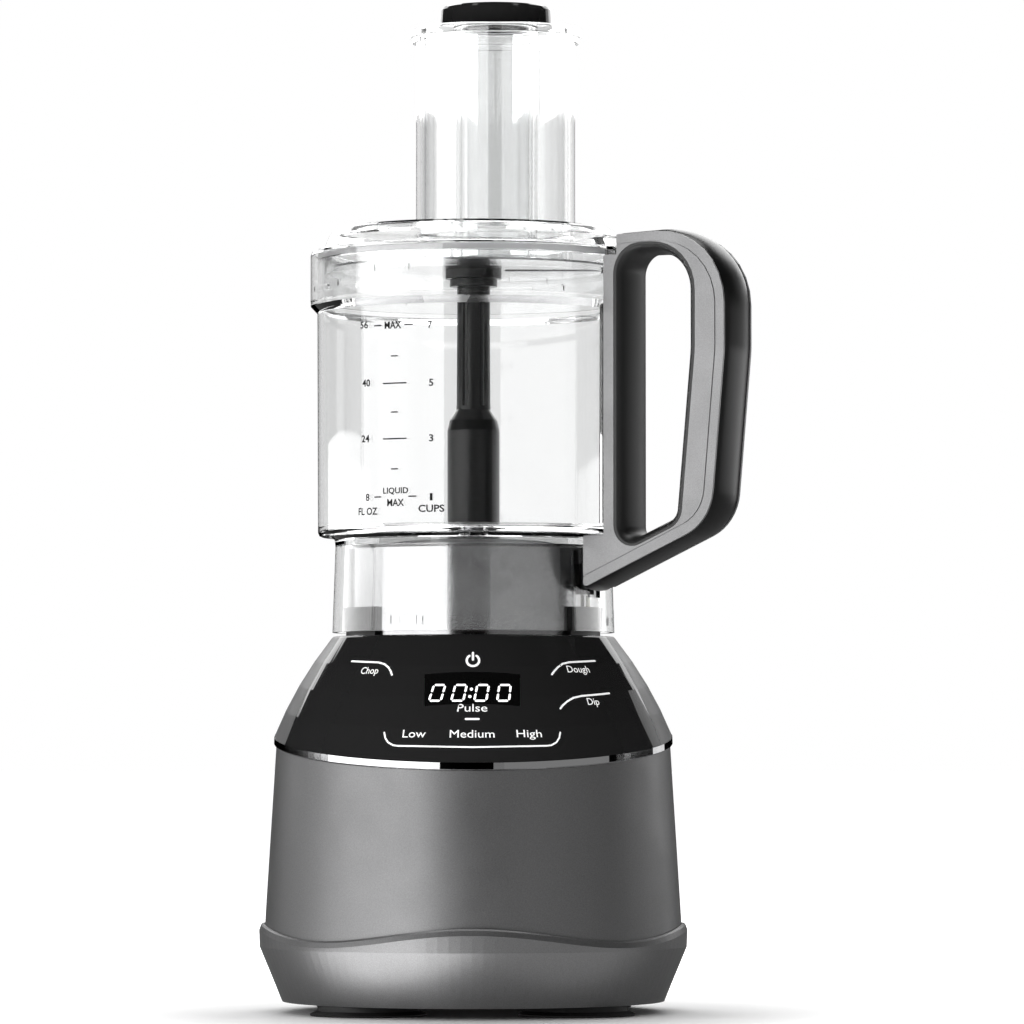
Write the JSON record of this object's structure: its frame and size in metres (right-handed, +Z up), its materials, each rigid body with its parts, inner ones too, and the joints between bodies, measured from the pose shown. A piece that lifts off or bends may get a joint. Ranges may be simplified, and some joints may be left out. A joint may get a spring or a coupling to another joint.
{
  "type": "food processor",
  "caption": "Food processor with a touch-panel motor base, clear bowl with a loop handle, chute lid, nested pushers and a slicing disc on a driven stem.",
  "frame": {"origin": "on the drive axis, at the table surface the feet stand on", "axes": "+Z up along the drive axis, -Y towards the control panel, +X to the user's right when facing the panel"},
  "size_m": [0.2337, 0.205, 0.4858],
  "materials": {
    "graphite_shell": "satin",
    "graphite_skirt": "satin",
    "trim_chrome": "polished",
    "black_gloss": "gloss",
    "display_glass": "gloss",
    "black_matte": "satin",
    "foot_rubber": "matte",
    "neck_steel": "brushed",
    "clear_plastic": "clear, gloss",
    "handle_silver": "satin",
    "grip_black": "satin",
    "seal_clear": "satin",
    "disc_steel": "polished",
    "machined_steel": "machined",
    "cast_aluminium": "cast",
    "bronze": "machined",
    "copper_wire": "lacquered wire",
    "lamination": "laminated",
    "gear_nylon": "matte",
    "board_green": "satin",
    "carbon": "matte"
  },
  "bodies": {
    "base": {"body_shell": "graphite_shell", "shoulder_shell": "graphite_shell", "deck_ring": "graphite_shell", "trim_ring": "trim_chrome", "control_panel": "black_gloss", "display_lens": "display_glass", "base_skirt": "graphite_skirt", "bottom_cover": "black_matte", "foot_front_left": "foot_rubber", "foot_front_right": "foot_rubber", "foot_rear_left": "foot_rubber", "foot_rear_right": "foot_rubber", "neck_cover": "neck_steel", "locking_blocks": "black_matte", "shaft_seal": "foot_rubber", "gearbox_housing": "cast_aluminium", "ring_gear": "gear_nylon", "output_bush": "bronze", "upper_motor_bracket": "cast_aluminium", "lower_motor_bracket": "cast_aluminium", "stator_core": "lamination", "field_coils": "copper_wire", "motor_bushes": "bronze", "brush_holders": "bronze", "carbon_brushes": "carbon", "motor_standoffs": "machined_steel", "display_board": "board_green", "power_board": "board_green", "interlock_switch": "black_matte", "base_screws": "machined_steel", "cord_gland": "black_matte"},
    "rotor": {"rotor_core": "lamination", "commutator": "copper_wire", "rotor_shaft": "machined_steel", "sun_gear": "machined_steel", "cooling_fan": "black_matte"},
    "output": {"planet_carrier": "machined_steel", "output_shaft": "machined_steel"},
    "planet_1": {"planet_gear_1": "gear_nylon"},
    "planet_2": {"planet_gear_2": "gear_nylon"},
    "planet_3": {"planet_gear_3": "gear_nylon"},
    "plunger": {"switch_plunger": "gear_nylon"},
    "bowl_seat": {"bowl_gasket": "seal_clear"},
    "bowl": {"bowl": "clear_plastic", "handle_plate_front": "handle_silver", "handle_plate_rear": "handle_silver", "grip_cover": "grip_black", "loop_liner": "grip_black", "handle_screws": "machined_steel", "rod_spring": "machined_steel"},
    "rod": {"safety_rod": "black_matte"},
    "stem": {"drive_stem": "grip_black", "disc_hub": "grip_black", "slicing_disc": "disc_steel", "slicing_blade": "disc_steel"},
    "lid_seal": {"lid_seal": "seal_clear"},
    "lid": {"lid": "clear_plastic"},
    "large_pusher": {"large_pusher": "clear_plastic"},
    "small_pusher": {"small_pusher_body": "clear_plastic", "small_pusher_cap": "black_gloss"}
  },
  "joints": [
    {"name": "rotor_spin", "type": "hinge", "parent": "base", "child": "rotor", "pos_m": [0, 0, 0], "axis": [0, 0, 1], "continuous": true},
    {"name": "output_spin", "type": "hinge", "parent": "base", "child": "output", "pos_m": [0, 0, 0], "axis": [0, 0, 1], "continuous": true},
    {"name": "planet_1_spin", "type": "hinge", "parent": "output", "child": "planet_1", "pos_m": [0.0195, 0, 0.14], "axis": [0, 0, 1], "continuous": true},
    {"name": "planet_2_spin", "type": "hinge", "parent": "output", "child": "planet_2", "pos_m": [-0.00975, 0.01689, 0.14], "axis": [0, 0, 1], "continuous": true},
    {"name": "planet_3_spin", "type": "hinge", "parent": "output", "child": "planet_3", "pos_m": [-0.00975, -0.01689, 0.14], "axis": [0, 0, 1], "continuous": true},
    {"name": "plunger_slide", "type": "slide", "parent": "base", "child": "plunger", "axis": [0, 0, 1], "range_m": [0, 0.002]},
    {"name": "bowl_lift", "type": "slide", "parent": "base", "child": "bowl_seat", "axis": [0, 0, 1], "range_m": [0, 0.1]},
    {"name": "bowl_turn", "type": "hinge", "parent": "bowl_seat", "child": "bowl", "pos_m": [0, 0, 0], "axis": [0, 0, 1], "range_deg": [0, 25]},
    {"name": "stem_spin", "type": "hinge", "parent": "bowl_seat", "child": "stem", "pos_m": [0, 0, 0], "axis": [0, 0, 1], "continuous": true},
    {"name": "lid_lift", "type": "slide", "parent": "bowl", "child": "lid_seal", "axis": [0, 0, 1], "range_m": [0, 0.12]},
    {"name": "lid_turn", "type": "hinge", "parent": "lid_seal", "child": "lid", "pos_m": [0, 0, 0], "axis": [0, 0, 1], "range_deg": [0, 20]},
    {"name": "rod_slide", "type": "slide", "parent": "bowl", "child": "rod", "axis": [0, 0, 1], "range_m": [0, 0.004], "deforming": ["rod_spring"]},
    {"name": "large_pusher_slide", "type": "slide", "parent": "lid", "child": "large_pusher", "axis": [0, 0, 1], "range_m": [0, 0.115]},
    {"name": "small_pusher_slide", "type": "slide", "parent": "large_pusher", "child": "small_pusher", "axis": [0, 0, 1], "range_m": [0, 0.115]}
  ],
  "couplings": [
    {"joint": "output_spin", "follows": "rotor_spin", "ratio": 0.23077},
    {"joint": "stem_spin", "follows": "rotor_spin", "ratio": 0.23077},
    {"joint": "planet_1_spin", "follows": "rotor_spin", "ratio": -0.65934},
    {"joint": "planet_2_spin", "follows": "rotor_spin", "ratio": -0.65934},
    {"joint": "planet_3_spin", "follows": "rotor_spin", "ratio": -0.65934},
    {"joint": "rod_slide", "follows": "lid_turn", "m_per_rad": 0.011459},
    {"joint": "plunger_slide", "follows": "lid_turn", "m_per_rad": 0.0057295}
  ]
}
